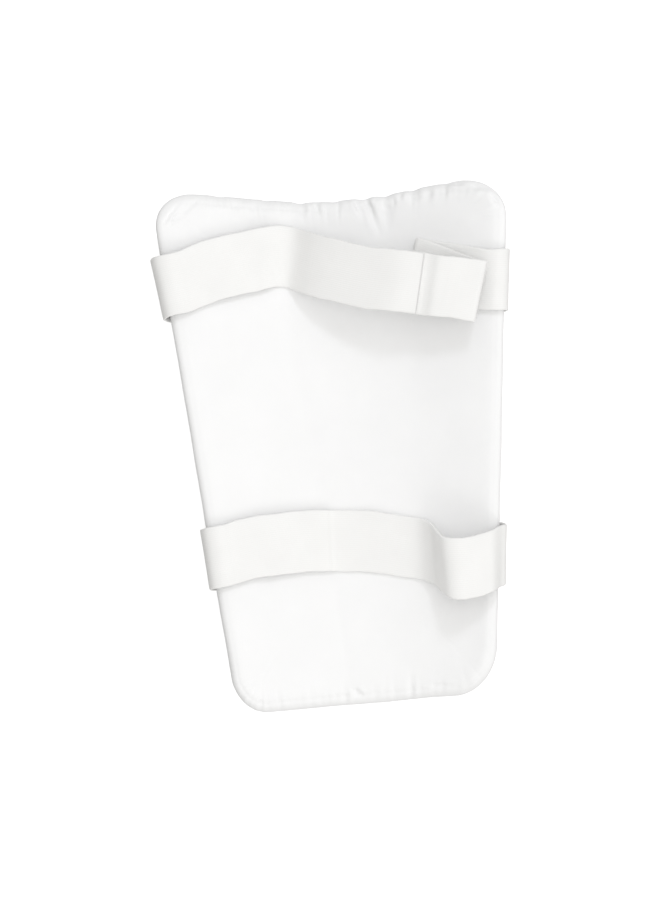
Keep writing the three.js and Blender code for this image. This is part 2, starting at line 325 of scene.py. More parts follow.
def on_pad(across, up, turn=BACK, rim=False):
    """A place on the pad's skin, and the direction out of it."""
    y = up * HALF_LENGTH
    side = math.copysign(1, across)
    sine = math.sin(math.radians(turn))
    outermost = math.cos(math.radians(turn)) if rim else 0
    reach = half_width_at(y)
    x = side * (reach - RIM_DEPTH * (1 - outermost)) if rim else across * reach
    skin = np.array([x, y, pad_height(x, sine)])
    taper = (PAD_TOP_WIDTH - PAD_BOTTOM_WIDTH) / 2 / PAD_LENGTH
    slope = trough_slope(x)
    off = unit(np.array([-slope, 0, 1])) * sine
    sideways = unit(np.array([side, -taper, side * slope]))
    return skin, unit(off + sideways * outermost)


# Lifts between which the width of the webbing comes level
LEVEL_FROM = 0.1
LEVEL_BY = 0.3


def width_direction(place, outward):
    lean = math.radians(place["lean"])
    width = np.array([math.sin(lean), math.cos(lean), 0])
    hold = 1 - smoothstep(place["lift"], LEVEL_FROM, LEVEL_BY)
    width = width - outward * hold * width.dot(outward)
    return unit(width + outward * math.tan(math.radians(place["flare"])))


def stations_of(place, loop_height):
    """Middle and width of the webbing at one row, or round a fold, and whether it is cut there."""
    skin, outward = on_pad(place["across"], place["up"], place["turn"], place["rim"])
    under = PATCH_THICKNESS + GAP if place["on_patch"] else 0
    stand = STRAP_THICKNESS / 2 + GAP + under + place["slack"] * RIM_SLACK
    middle = skin + outward * stand
    middle[2] += place["lift"] * loop_height
    width = width_direction(place, outward)
    if not place["fold"]:
        return [(middle, width, place["cut_end"])]
    along = unit(np.array([width[1], -width[0], 0])) * place["fold"] * FOLD_RADIUS
    found = []
    for i in range(TURN_STEPS + 1):
        turn = math.pi * i / TURN_STEPS
        bent = middle + along * math.sin(turn) + [0, 0, FOLD_RADIUS * math.cos(turn)]
        found.append((bent, width, False))
    return found


def catmull_rom(points, n, share):
    """A place and direction on the centripetal Catmull-Rom curve, between points n and n + 1."""
    before = points[n - 1] if n > 0 else 2 * points[0] - points[1]
    after = points[n + 2] if n + 2 < len(points) else 2 * points[-1] - points[-2]
    a, b = points[n], points[n + 1]
    pairs = ((before, a), (a, b), (b, after))
    gaps = [max(float(np.sum((q - p) ** 2)) ** 0.25, 1e-5) for p, q in pairs]
    start = ((a - before) / gaps[0] - (b - before) / (gaps[0] + gaps[1]) + (b - a) / gaps[1]) * gaps[1]
    end = ((b - a) / gaps[1] - (after - a) / (gaps[1] + gaps[2]) + (after - b) / gaps[2]) * gaps[1]
    c2 = -3 * a + 3 * b - 2 * start - end
    c3 = 2 * a - 2 * b + start + end
    place = a + start * share + c2 * share ** 2 + c3 * share ** 3
    direction = start + 2 * c2 * share + 3 * c3 * share ** 2
    return place, unit(direction)


def smoothed(values, sigma):
    """Values along a line, each averaged with its neighbours, with the ends kept."""
    reach = int(sigma * 3)
    weights = np.exp(-0.5 * (np.arange(-reach, reach + 1) / sigma) ** 2)
    weights /= weights.sum()
    padded = np.concatenate([np.repeat(values[:1], reach, 0), values, np.repeat(values[-1:], reach, 0)])
    return np.stack([np.convolve(padded[:, k], weights, "valid") for k in range(values.shape[1])], 1)


RIBBON_STEP = 0.9 * MM
CURVE_STEPS = 24
WIDTH_SMOOTHING = 3


def sample_route(route, loop_height):
    """Even samples of the webbing along a route, and the length at which its strap is cut off."""
    stations = [station for place in route for station in stations_of(place, loop_height)]
    points = [station[0] for station in stations]
    middles, alongs, widths, cut_at = [], [], [], 0
    for n in range(len(points) - 1):
        if stations[n][2]:
            cut_at = len(middles)
        for i in range(CURVE_STEPS):
            place, direction = catmull_rom(points, n, i / CURVE_STEPS)
            middles.append(place)
            alongs.append(direction)
            widths.append(lerp(stations[n][1], stations[n + 1][1], i / CURVE_STEPS))
    middles.append(points[-1])
    alongs.append(alongs[-1])
    widths.append(stations[-1][1])
    middles, alongs, widths = np.array(middles), np.array(alongs), np.array(widths)
    lengths = np.concatenate([[0], np.cumsum(np.linalg.norm(np.diff(middles, axis=0), axis=1))])
    count = int(lengths[-1] / RIBBON_STEP)
    even = np.linspace(0, lengths[-1], count + 1)

    def resample(values):
        return np.stack([np.interp(even, lengths, values[:, k]) for k in range(3)], 1)

    middles, alongs, widths = resample(middles), unit(resample(alongs)), resample(widths)
    widths = unit(smoothed(widths, WIDTH_SMOOTHING))
    outs = unit(np.cross(alongs, widths))
    return {"middle": middles, "width": widths, "out": outs, "length": even, "cut": lengths[cut_at]}


def part_of(samples, low, high):
    keep = (samples["length"] >= low) & (samples["length"] <= high)
    return {name: values if name == "cut" else values[keep] for name, values in samples.items()}


def sunk_under(samples):
    """The tab lies under the end of the upper strap, and comes up to the route just past it."""
    past = smoothstep(samples["length"], samples["cut"], samples["cut"] + JOIN_OVERLAP)
    sink = (1 - past) * (STRAP_THICKNESS + GAP)
    return {**samples, "middle": samples["middle"] - samples["out"] * sink[:, None]}


# The ridge that an old fold left across the lower strap
RIDGE_ACROSS = -0.165
RIDGE_UP = -0.363
RIDGE_HEIGHT = 0.6 * MM
RIDGE_WIDTH = 1.5 * MM


def ridged(samples):
    """The samples of a route with the ridge in them."""
    skin, _ = on_pad(RIDGE_ACROSS, RIDGE_UP)
    nearest = int(np.argmin(np.linalg.norm(samples["middle"] - skin, axis=1)))
    away = samples["length"] - samples["length"][nearest]
    rise = RIDGE_HEIGHT * np.exp(-((away / RIDGE_WIDTH) ** 2))
    return {**samples, "middle": samples["middle"] + samples["out"] * rise[:, None]}


ACROSS_STEPS = 26
EDGE_STEPS = 4

# Wavelength and height of the waves in the webbing's edges, how deep its middle sinks, and how much
# thinner it is at the selvedge
EDGE_WAVES = ((41 * MM, 0.22 * MM), (17 * MM, 0.12 * MM), (7 * MM, 0.05 * MM))
CUPPING = 0.18 * MM
EDGE_THINNING = 0.15


def ribbon_section():
    """The webbing's section as shares of half its width and half its thickness, with round edges."""
    edge = STRAP_THICKNESS / STRAP_WIDTH
    flat = np.linspace(-1 + edge, 1 - edge, ACROSS_STEPS + 1)
    turn = np.linspace(math.pi / 2, -math.pi / 2, EDGE_STEPS + 2)[1:-1]
    upper = np.column_stack([flat, np.ones_like(flat)])
    right = np.column_stack([1 - edge + edge * np.cos(turn), np.sin(turn)])
    lower = np.column_stack([flat[::-1], -np.ones_like(flat)])
    left = np.column_stack([-1 + edge - edge * np.cos(turn[::-1]), np.sin(turn[::-1])])
    return np.vstack([upper, right, lower, left])


def ribbon(name, samples, seed, offset):
    """A closed strap of webbing with slightly uneven edges, and a UV map in metres."""
    section = ribbon_section()
    count, rows = len(section), len(samples["middle"])
    draw = np.random.default_rng(seed)
    along = samples["length"]
    edge_wave = np.zeros((rows, 2))
    for k in range(2):
        for wavelength, height in EDGE_WAVES:
            phase = draw.uniform(0, 2 * math.pi)
            edge_wave[:, k] += height * np.sin(2 * math.pi * along / wavelength + phase)
    w, t = section[:, 0], section[:, 1]
    side = np.where(w[None, :] > 0, edge_wave[:, :1], edge_wave[:, 1:]) * np.abs(w[None, :]) ** 3
    across = w[None, :] * STRAP_WIDTH / 2 + side * np.sign(w[None, :])
    cup = CUPPING * (1 - w[None, :] ** 2)
    out = t[None, :] * STRAP_THICKNESS / 2 * (1 - EDGE_THINNING * np.abs(w[None, :]) ** 8) - cup
    points = (
        samples["middle"][:, None, :]
        + samples["width"][:, None, :] * across[:, :, None]
        + samples["out"][:, None, :] * out[:, :, None]
    ).reshape(-1, 3) + offset
    faces = tube_faces(rows, count)
    top = ACROSS_STEPS + 1
    for base, turned in ((0, True), ((rows - 1) * count, False)):
        upper = [base + i for i in range(top)]
        lower = [base + top + EDGE_STEPS + top - 1 - i for i in range(top)]
        right = [base + top + i for i in range(EDGE_STEPS)]
        left = [base + 2 * top + EDGE_STEPS + i for i in range(EDGE_STEPS)]
        caps = [(upper[i], upper[i + 1], lower[i + 1], lower[i]) for i in range(top - 1)]
        caps += [tuple([upper[-1], *right, lower[-1]]), tuple([lower[0], *left, upper[0]])]
        faces += [face if turned else face[::-1] for face in caps]
    piece = make_mesh(name, points, faces)
    uv = piece.data.uv_layers.new(name="webbing")
    lengths = np.repeat(along, count)
    widths = np.tile(w * STRAP_WIDTH / 2, rows)
    corners = np.empty(len(piece.data.loops), dtype=int)
    piece.data.loops.foreach_get("vertex_index", corners)
    uv.data.foreach_set("uv", np.column_stack([lengths, widths])[corners].ravel())
    finish_shape(piece)
    return piece


def outward(piece):
    """Turns the faces out if the piece's volume comes out negative."""
    points = coordinates(piece.data)
    piece.data.calc_loop_triangles()
    corners = np.empty(len(piece.data.loop_triangles) * 3, dtype=int)
    piece.data.loop_triangles.foreach_get("vertices", corners)
    a, b, c = (points[corners[k::3]] for k in range(3))
    if np.einsum("ij,ij->i", a, np.cross(b, c)).sum() < 0:
        piece.data.flip_normals()


def finish_shape(piece):
    outward(piece)
    piece.data.shade_smooth()
    piece.data.update()


class Nodes:
    """Short ways to add and link the nodes of one material or world."""

    def __init__(self, owner):
        self.tree = owner.node_tree

    def add(self, kind, settings=None, **inputs):
        node = self.tree.nodes.new(kind)
        for name, value in (settings or {}).items():
            setattr(node, name, value)
        for name, value in inputs.items():
            self.put(node, name.replace("_", " "), value)
        return node

    def put(self, node, name, value):
        socket = node.inputs[int(name)] if name.isdigit() else node.inputs[name]
        if isinstance(value, bpy.types.NodeSocket):
            self.tree.links.new(value, socket)
        else:
            socket.default_value = value

    def math(self, operation, a, b=0.0):
        node = self.tree.nodes.new("ShaderNodeMath")
        node.operation = operation
        self.put(node, "0", a)
        self.put(node, "1", b)
        return node.outputs[0]

    def wave(self, coordinate, pitch):
        """A smooth wave from 0 to 1 along a coordinate in metres."""
        angle = self.math("MULTIPLY", coordinate, 2 * math.pi / pitch)
        return self.math("ADD", self.math("MULTIPLY", self.math("SINE", angle), 0.5), 0.5)

    def ramp(self, factor, stops):
        node = self.tree.nodes.new("ShaderNodeValToRGB")
        elements = node.color_ramp.elements
        while len(elements) < len(stops):
            elements.new(0.5)
        for element, (position, color) in zip(elements, stops):
            element.position = position
            element.color = (*color, 1)
        self.tree.links.new(factor, node.inputs["Fac"])
        return node.outputs["Color"]

    def bump(self, height, distance, strength):
        node = self.add("ShaderNodeBump", None, Strength=strength, Distance=distance, Height=height)
        return node.outputs["Normal"]


# Camera and light
PHOTO_HEIGHT_PX = 900
PX_PER_M = 1580
PHOTO_MIDDLE = (-8.9 * MM, -2.4 * MM)
PHOTO_ROLL = math.radians(-4.15)
CAMERA_HEIGHT = 6
BACK_LEVEL = 30 * MM


def make_camera():
    """Straight above the pad, in the photograph's scale at the level of the pad's back."""
    data = bpy.data.cameras.new("camera")
    camera = bpy.data.objects.new("camera", data)
    bpy.context.scene.collection.objects.link(camera)
    data.sensor_width = 36
    data.lens = data.sensor_width * CAMERA_HEIGHT / (PHOTO_HEIGHT_PX / PX_PER_M)
    data.clip_start, data.clip_end = 0.1, 20
    camera.location = (*PHOTO_MIDDLE, BACK_LEVEL + CAMERA_HEIGHT)
    camera.rotation_euler = (0, 0, PHOTO_ROLL)
    bpy.context.scene.camera = camera


def area_light(name, azimuth, elevation, distance, size, power, tint=(1, 1, 1)):
    """A square soft light. Azimuth is counted from +X toward +Y, and elevation above the floor."""
    data = bpy.data.lights.new(name, "AREA")
    data.shape = "SQUARE"
    data.size, data.energy, data.color = size, power, tint
    light = bpy.data.objects.new(name, data)
    a, e = math.radians(azimuth), math.radians(elevation)
    place = Vector((math.cos(a) * math.cos(e), math.sin(a) * math.cos(e), math.sin(e))) * distance
    light.location = place
    light.rotation_euler = (-place).to_track_quat("-Z", "Y").to_euler()
    bpy.context.scene.collection.objects.link(light)


# Brightness of the studio's walls by the height of the direction, from straight down to straight up,
# how much darker the walls are on the left, and their colour
STUDIO_LEVELS = ((0.0, 0.6), (0.5, 0.67), (1.0, 1.1))
LEFT_DARKENING = 0.62
WALL_TINT = (1.0, 0.993, 0.977)


KEY_TINT = (0.91, 0.94, 1.0)


def make_lights():
    area_light("key_light", azimuth=70, elevation=46, distance=2.4, size=0.34, power=7.4, tint=KEY_TINT)
    area_light("overhead", azimuth=0, elevation=90, distance=2.1, size=1.0, power=3.6)
    area_light("low_fill", azimuth=-72, elevation=30, distance=2.4, size=0.9, power=7.5)
    world = bpy.data.worlds.new("studio")
    bpy.context.scene.world = world
    world.use_nodes = True
    nodes = Nodes(world)
    direction = nodes.add("ShaderNodeTexCoord").outputs["Generated"]
    split = nodes.add("ShaderNodeSeparateXYZ", None, Vector=direction)
    level = nodes.math("MULTIPLY", nodes.math("ADD", split.outputs["Z"], 1.0), 0.5)
    stops = [(place, [value * part for part in WALL_TINT]) for place, value in STUDIO_LEVELS]
    color = nodes.ramp(level, stops)
    leftness = nodes.math("MAXIMUM", nodes.math("MULTIPLY", split.outputs["X"], -1.0), 0.0)
    darker = nodes.math("MULTIPLY", nodes.math("MULTIPLY", leftness, leftness), LEFT_DARKENING)
    strength = nodes.math("SUBTRACT", 1.0, darker)
    nodes.put(world.node_tree.nodes["Background"], "Color", color)
    nodes.put(world.node_tree.nodes["Background"], "Strength", strength)
    bpy.context.scene.view_settings.view_transform = "Standard"


FLOOR_REACH = 4
FLOOR_BELOW = 0.02 * MM
FLOOR_GLOW = 0.45


def make_floor():
    """A pale floor that glows a little, as a lit sweep does, and throws no light back up."""
    corners = [(x * FLOOR_REACH, y * FLOOR_REACH, 0) for x, y in ((-1, -1), (1, -1), (1, 1), (-1, 1))]
    floor = make_mesh("floor", corners, [(0, 1, 2, 3)])
    floor.location.z = -FLOOR_BELOW
    floor.visible_diffuse = False
    material, shader = new_material("floor")
    shader.inputs["Base Color"].default_value = (0.9, 0.9, 0.9, 1)
    shader.inputs["Roughness"].default_value = 0.9
    shader.inputs["Emission Color"].default_value = (1, 1, 1, 1)
    shader.inputs["Emission Strength"].default_value = FLOOR_GLOW
    floor.data.materials.append(material)


# Materials
def new_material(name):
    material = bpy.data.materials.new(name)
    material.use_nodes = True
    return material, material.node_tree.nodes["Principled BSDF"]


def set_fabric(shader, roughness, sheen):
    shader.inputs["Roughness"].default_value = roughness
    shader.inputs["Sheen Weight"].default_value = sheen
    shader.inputs["Sheen Roughness"].default_value = 0.6
    shader.inputs["Specular IOR Level"].default_value = 0.25


COVER_WEAVE_PITCH = 0.55 * MM


def cover_material():
    """Fine plain weave, white, with slightly uneven yarns."""
    material, shader = new_material("cover")
    nodes = Nodes(material)
    set_fabric(shader, 0.85, 0.08)
    place = nodes.add("ShaderNodeTexCoord").outputs["Object"]
    split = nodes.add("ShaderNodeSeparateXYZ", None, Vector=place)
    uneven = nodes.add("ShaderNodeTexNoise", None, Vector=place, Scale=900.0, Detail=2.0).outputs["Fac"]
    broad = nodes.add("ShaderNodeTexNoise", None, Vector=place, Scale=28.0, Detail=3.0).outputs["Fac"]
    warp = nodes.wave(split.outputs["X"], COVER_WEAVE_PITCH)
    weft = nodes.wave(split.outputs["Y"], COVER_WEAVE_PITCH)
    weave = nodes.math("ADD", nodes.math("MULTIPLY", warp, weft), nodes.math("MULTIPLY", uneven, 0.6))
    tone = nodes.math("ADD", nodes.math("MULTIPLY", broad, 0.8), nodes.math("MULTIPLY", weave, 0.15))
    color = nodes.ramp(tone, ((0.25, (0.849, 0.85, 0.853)), (0.75, (0.879, 0.88, 0.883))))
    nodes.put(shader, "Base Color", color)
    nodes.put(shader, "Normal", nodes.bump(weave, 0.08 * MM, 0.6))
    return material


WEBBING_RIB_PITCH = 1.3 * MM
WEBBING_PICK_PITCH = 0.9 * MM
SELVEDGE_WIDTH = 2.2 * MM


def webbing_material():
    """Ribbed elastic webbing: cords along its length, picks across them, and a firm selvedge."""
    material, shader = new_material("webbing")
    nodes = Nodes(material)
    set_fabric(shader, 0.8, 0.1)
    place = nodes.add("ShaderNodeUVMap", {"uv_map": "webbing"}).outputs["UV"]
    split = nodes.add("ShaderNodeSeparateXYZ", None, Vector=place)
    along, across = split.outputs["X"], split.outputs["Y"]
    uneven = nodes.add("ShaderNodeTexNoise", None, Vector=place, Scale=700.0, Detail=3.0).outputs["Fac"]
    broad = nodes.add("ShaderNodeTexNoise", None, Vector=place, Scale=45.0, Detail=2.0).outputs["Fac"]
    cords = nodes.wave(across, WEBBING_RIB_PITCH)
    every_other = nodes.math("GREATER_THAN", nodes.wave(across, 2 * WEBBING_RIB_PITCH), 0.5)
    turned = nodes.math("MULTIPLY", every_other, 0.5)
    shifted = nodes.math("ADD", along, nodes.math("MULTIPLY", turned, WEBBING_PICK_PITCH))
    picks = nodes.wave(shifted, WEBBING_PICK_PITCH)
    from_edge = nodes.math("SUBTRACT", STRAP_WIDTH / 2, nodes.math("ABSOLUTE", across))
    selvedge = nodes.math("LESS_THAN", from_edge, SELVEDGE_WIDTH)
    body = nodes.math("ADD", nodes.math("MULTIPLY", cords, 0.6), nodes.math("MULTIPLY", picks, 0.4))
    weave = nodes.math("ADD", body, nodes.math("MULTIPLY", uneven, 0.5))
    height = nodes.math("ADD", weave, nodes.math("MULTIPLY", selvedge, 0.35))
    tone = nodes.math("ADD", nodes.math("MULTIPLY", broad, 0.6), nodes.math("MULTIPLY", weave, 0.3))
    color = nodes.ramp(tone, ((0.2, (0.8, 0.798, 0.789)), (0.8, (0.853, 0.851, 0.843))))
    nodes.put(shader, "Base Color", color)
    nodes.put(shader, "Normal", nodes.bump(height, 0.12 * MM, 0.4))
    return material


def loop_tape_material():
    """Brushed loops of a touch fastener."""
    material, shader = new_material("loop_tape")
    nodes = Nodes(material)
    set_fabric(shader, 0.95, 0.3)
    place = nodes.add("ShaderNodeTexCoord").outputs["Object"]
    cells = nodes.add("ShaderNodeTexVoronoi", {"feature": "F1"}, Vector=place, Scale=1400.0)
    loops = cells.outputs["Distance"]
    fuzz = nodes.add("ShaderNodeTexNoise", None, Vector=place, Scale=2500.0, Detail=4.0).outputs["Fac"]
    height = nodes.math("ADD", loops, nodes.math("MULTIPLY", fuzz, 0.7))
    color = nodes.ramp(height, ((0.2, (0.70, 0.70, 0.66)), (0.9, (0.86, 0.86, 0.83))))
    nodes.put(shader, "Base Color", color)
    nodes.put(shader, "Normal", nodes.bump(height, 0.4 * MM, 0.8))
    return material


def thread_material():
    """Twisted white sewing thread."""
    material, shader = new_material("thread")
    nodes = Nodes(material)
    set_fabric(shader, 0.6, 0.1)
    place = nodes.add("ShaderNodeTexCoord").outputs["Object"]
    twist = nodes.add("ShaderNodeTexNoise", None, Vector=place, Scale=3000.0, Detail=2.0).outputs["Fac"]
    color = nodes.ramp(twist, ((0.3, (0.80, 0.80, 0.78)), (0.7, (0.9, 0.9, 0.88))))
    nodes.put(shader, "Base Color", color)
    nodes.put(shader, "Normal", nodes.bump(twist, 0.05 * MM, 0.6))
    return material


# The pad's cover, with its seam on the back near the rim
SEAM_INSET = 5.5 * MM
SEAM_WIDTH = 1.3 * MM
SEAM_BLEND = 20 * MM
SEAM_DEPTHS = {"top": 0.3 * MM, "left": 0.1 * MM, "bottom": 0.35 * MM, "right": 0.15 * MM}

# Creases in the back of the cover: start and end as shares across and up the pad, and depth and width
# in millimetres
CREASES = (
    {"start": (-0.185, 0.985), "end": (-0.205, 0.90), "depth": 1.3, "width": 1.6},
    {"start": (-0.095, 0.985), "end": (-0.065, 0.87), "depth": 1.7, "width": 1.4},
    {"start": (0.035, 0.985), "end": (0.06, 0.89), "depth": 1.4, "width": 1.5},
    {"start": (0.11, 0.985), "end": (0.20, 0.85), "depth": 2.1, "width": 1.6},
    {"start": (0.17, 0.985), "end": (0.29, 0.77), "depth": 2.5, "width": 1.9},
    {"start": (0.28, 0.985), "end": (0.255, 0.91), "depth": 1.4, "width": 1.5},
    {"start": (0.41, 0.985), "end": (0.385, 0.91), "depth": 1.2, "width": 1.5},
    {"start": (0.29, 0.905), "end": (0.345, 0.89), "depth": 0.6, "width": 1.2},
    {"start": (-0.95, 0.89), "end": (-0.83, 0.975), "depth": 1.1, "width": 1.1},
    {"start": (-0.92, 0.88), "end": (-0.77, 0.985), "depth": 1.5, "width": 1.3},
    {"start": (-0.87, 0.90), "end": (-0.71, 0.995), "depth": 1.2, "width": 1.2},
    {"start": (0.66, 0.985), "end": (0.77, 0.965), "depth": 2.3, "width": 1.6},
    {"start": (0.77, 0.965), "end": (0.955, 0.935), "depth": 1.9, "width": 2.0},
    {"start": (0.90, 0.93), "end": (0.985, 0.84), "depth": 1.4, "width": 1.6},
    {"start": (-0.085, -0.935), "end": (-0.045, -0.985), "depth": 1.7, "width": 1.4},
    {"start": (-0.055, -0.94), "end": (-0.02, -0.985), "depth": 0.8, "width": 1.1},
    {"start": (0.48, -0.95), "end": (0.70, -0.95), "depth": 0.7, "width": 1.3},
)

# The line that the guard has been folded along, as shares across and up the pad
FOLD_LINE = ((-0.40, 0.97), (-0.335, 0.636), (-0.241, 0.05), (-0.185, -0.35), (-0.11, -0.95))
FOLD_DEPTH = 0.55 * MM
FOLD_WIDTH = 5 * MM


def place_on_outline(across, up):
    """A place given as shares of the pad, seen from above."""
    y = up * HALF_LENGTH
    return np.array([across * half_width_at(y), y])


def beside_segment(points, start, end):
    """Each point's distance from a segment, and how far along it the nearest place is."""
    run = end - start
    share = np.clip((points - start) @ run / run.dot(run), 0, 1)
    return np.linalg.norm(points - start - share[:, None] * run, axis=1), share


# Each crease comes in over its first part and fades out over the rest, with the cloth puffed up a
# little at both sides
CREASE_IN = 0.25
CREASE_OUT = 0.35
CREASE_PUFF = 0.3


def crease_depths(flat):
    total = np.zeros(len(flat))
    for crease in CREASES:
        start, end = place_on_outline(*crease["start"]), place_on_outline(*crease["end"])
        away, share = beside_segment(flat, start, end)
        width = crease["width"] * MM
        fade = smoothstep(share, 0, CREASE_IN) * (1 - smoothstep(share, CREASE_OUT, 1))
        dent = np.exp(-((away / width) ** 2))
        puff = CREASE_PUFF * np.exp(-(((away - 2.1 * width) / (1.1 * width)) ** 2))
        total += crease["depth"] * MM * fade * (dent - puff)
    return total


def fold_depths(flat):
    places = [place_on_outline(*share) for share in FOLD_LINE]
    away = np.min([beside_segment(flat, a, b)[0] for a, b in zip(places, places[1:])], axis=0)
    return FOLD_DEPTH * np.exp(-(away / FOLD_WIDTH))


# How many puckers the cover has along each side's seam, and how deep they may be
PUCKERS = (
    {"side": "top", "count": 60, "depth": 0.55 * MM},
    {"side": "left", "count": 34, "depth": 0.2 * MM},
    {"side": "bottom", "count": 46, "depth": 0.5 * MM},
    {"side": "right", "count": 40, "depth": 0.28 * MM},
)


def seam_depths(walk, spans):
    """The seam sinks in most along the top and bottom, and changes gently from side to side."""
    total = np.zeros(len(walk))
    weights = np.zeros(len(walk))
    for side, depth in SEAM_DEPTHS.items():
        low, high = spans[side]
        middle, half = (low + high) / 2, (high - low) / 2
        away = np.abs(walk - middle)
        away = np.minimum(away, spans["whole"] - away)
        weight = 1 - smoothstep(away, half - SEAM_BLEND, half + SEAM_BLEND) + 1e-6
        total += weight * depth
        weights += weight
    return total / weights


def pucker_depths(walk, spans, from_seam, draw):
    """Short dents across the seam, drawn at random places along each side."""
    total = np.zeros(len(walk))
    length = spans["whole"]
    for group in PUCKERS:
        low, high = spans[group["side"]]
        for _ in range(group["count"]):
            place = draw.uniform(low, high)
            width = draw.uniform(0.9, 2.2) * MM
            reach = draw.uniform(3, 9) * MM
            depth = draw.uniform(0.2, 1) * group["depth"]
            away = np.abs(walk - place)
            away = np.minimum(away, length - away)
            near = away < 4 * width
            dent = np.exp(-((away[near] / width) ** 2))
            puff = CREASE_PUFF * np.exp(-(((away[near] - 2 * width) / width) ** 2))
            total[near] += depth * (dent - puff) * np.exp(-((from_seam[near] / reach) ** 2))
    return total


NOISE_WAVES = 5


def soft_noise(points, wavelengths, height, draw):
    """Smooth unevenness from a few waves of each length in seeded directions."""
    total = np.zeros(len(points))
    for wavelength in wavelengths:
        for _ in range(NOISE_WAVES):
            direction = unit(draw.normal(size=3) * [1, 1, 0.5])
            phase = draw.uniform(0, 2 * math.pi)
            wave = np.sin(points @ direction * 2 * math.pi / wavelength + phase)
            total += wave * height / NOISE_WAVES
    return total


# Cloth simulation of the cover over its filling
SIM_VOXEL = 5 * MM
SIM_START_INSIDE = 2 * MM
SIM_MOST_MOVE = 5 * MM
SIM_FRAMES = 20
CLOTH = {
    "quality": 6,
    "mass": 0.25,
    "tension_stiffness": 18,
    "compression_stiffness": 6,
    "shear_stiffness": 8,
    "bending_stiffness": 0.4,
    "shrink_min": -0.03,
    "use_pressure": True,
    "uniform_pressure_force": 4,
}

# How far the simulated swelling may go, the share of it held back at the rim, and its smoothing from
# ring to ring and along the rings
MOST_SWELL = 1.1 * MM
RIM_HOLD = 0.75
SWELL_SMOOTHING = (2.5, 6)


def search_tree(mesh):
    polygons = [tuple(f.vertices) for f in mesh.polygons]
    return BVHTree.FromPolygons([tuple(p) for p in coordinates(mesh)], polygons)


def inflated(points, faces, out):
    """How far the cover moves out when it is blown up against its own cut, at each of the points."""
    start = make_mesh("inflating", points - out * SIM_START_INSIDE, faces)
    remesh = start.modifiers.new("remesh", "REMESH")
    remesh.mode = "VOXEL"
    remesh.voxel_size = SIM_VOXEL
    graph = bpy.context.evaluated_depsgraph_get()
    mesh = bpy.data.meshes.new_from_object(start.evaluated_get(graph))
    bpy.data.objects.remove(start)
    cover = bpy.data.objects.new("inflating_cover", mesh)
    bpy.context.scene.collection.objects.link(cover)
    rest = coordinates(mesh)
    cloth = cover.modifiers.new("cloth", "CLOTH")
    for setting, value in CLOTH.items():
        setattr(cloth.settings, setting, value)
    cloth.settings.effector_weights.gravity = 0
    cloth.point_cache.frame_start = 1
    cloth.point_cache.frame_end = SIM_FRAMES
    for step in range(1, SIM_FRAMES + 1):
        bpy.context.scene.frame_set(step)
    graph = bpy.context.evaluated_depsgraph_get()
    evaluated = cover.evaluated_get(graph)
    moved = coordinates(evaluated.data) - rest
    far = np.linalg.norm(moved, axis=1, keepdims=True)
    moved *= np.minimum(1, SIM_MOST_MOVE / np.maximum(far, 1e-9))
    tree = search_tree(mesh)
    polygons = [tuple(f.vertices) for f in mesh.polygons]
    found = np.empty((len(points), 3))
    for i, point in enumerate(points - out * SIM_START_INSIDE):
        place, _, face, _ = tree.find_nearest(Vector(point))
        corners = list(polygons[face])
        away = np.linalg.norm(rest[corners] - np.array(place), axis=1)
        share = 1 / (away + 0.2 * MM) ** 2
        found[i] = (moved[corners] * share[:, None]).sum(0) / share.sum()
    bpy.data.objects.remove(cover)
    bpy.context.scene.frame_set(1)
    return (found * out).sum(1)


# How deep under the skin a neighbour is looked for, the room left below it, and the smoothing of the
# dent from ring to ring and along the rings
PROBE_DEPTH = 7 * MM
CLEARANCE = 0.25 * MM
DENT_SMOOTHING = (1.2, 2.5)


def pressed_under(points, out, neighbours):
    """How far in the skin has to go, at each of its points, to stay clear of its neighbours."""
    push = np.zeros(len(points))
    trees = [search_tree(neighbour.data) for neighbour in neighbours]
    for i, (point, direction) in enumerate(zip(points, out)):
        origin = Vector(point - direction * PROBE_DEPTH)
        for tree in trees:
            _, _, _, away = tree.ray_cast(origin, Vector(direction), PROBE_DEPTH + CLEARANCE)
            if away is not None:
                push[i] = max(push[i], PROBE_DEPTH + CLEARANCE - away)
    return push


def spread(values, rings, count, sigma_rings, sigma_round):
    """Softens values given at the points of the pad's rings."""
    grid = values.reshape(rings, count)
    for axis, sigma in ((1, sigma_round), (0, sigma_rings)):
        reach = int(3 * sigma)
        weights = np.exp(-0.5 * (np.arange(-reach, reach + 1) / sigma) ** 2)
        weights /= weights.sum()
        total = np.zeros_like(grid)
        for shift, weight in zip(range(-reach, reach + 1), weights):
            if axis == 1:
                total += weight * np.roll(grid, shift, 1)
            else:
                index = np.clip(np.arange(rings) + shift, 0, rings - 1)
                total += weight * grid[index]
        grid = total
    return grid.ravel()


def outline_walk(ring):
    """The way round the outline to each of its points, and where each side starts and ends."""
    steps = np.linalg.norm(np.roll(ring, -1, 0) - ring, axis=1)
    walk = np.concatenate([[0], np.cumsum(steps)[:-1]])
    spans, at = {"whole": steps.sum()}, 0
    for name, corner in zip(("top", "left", "bottom", "right"), CORNERS):
        first = at
        at += CORNER_STEPS + corner["straight"]
        spans[name] = (walk[first], walk[at - 1])
    return walk, spans


# Wavelengths and height of the broad and of the fine unevenness of the cover
BROAD_NOISE = ((70 * MM, 45 * MM), 0.35 * MM)
FINE_NOISE = ((21 * MM, 12 * MM), 0.07 * MM)
PAD_SEED = 7


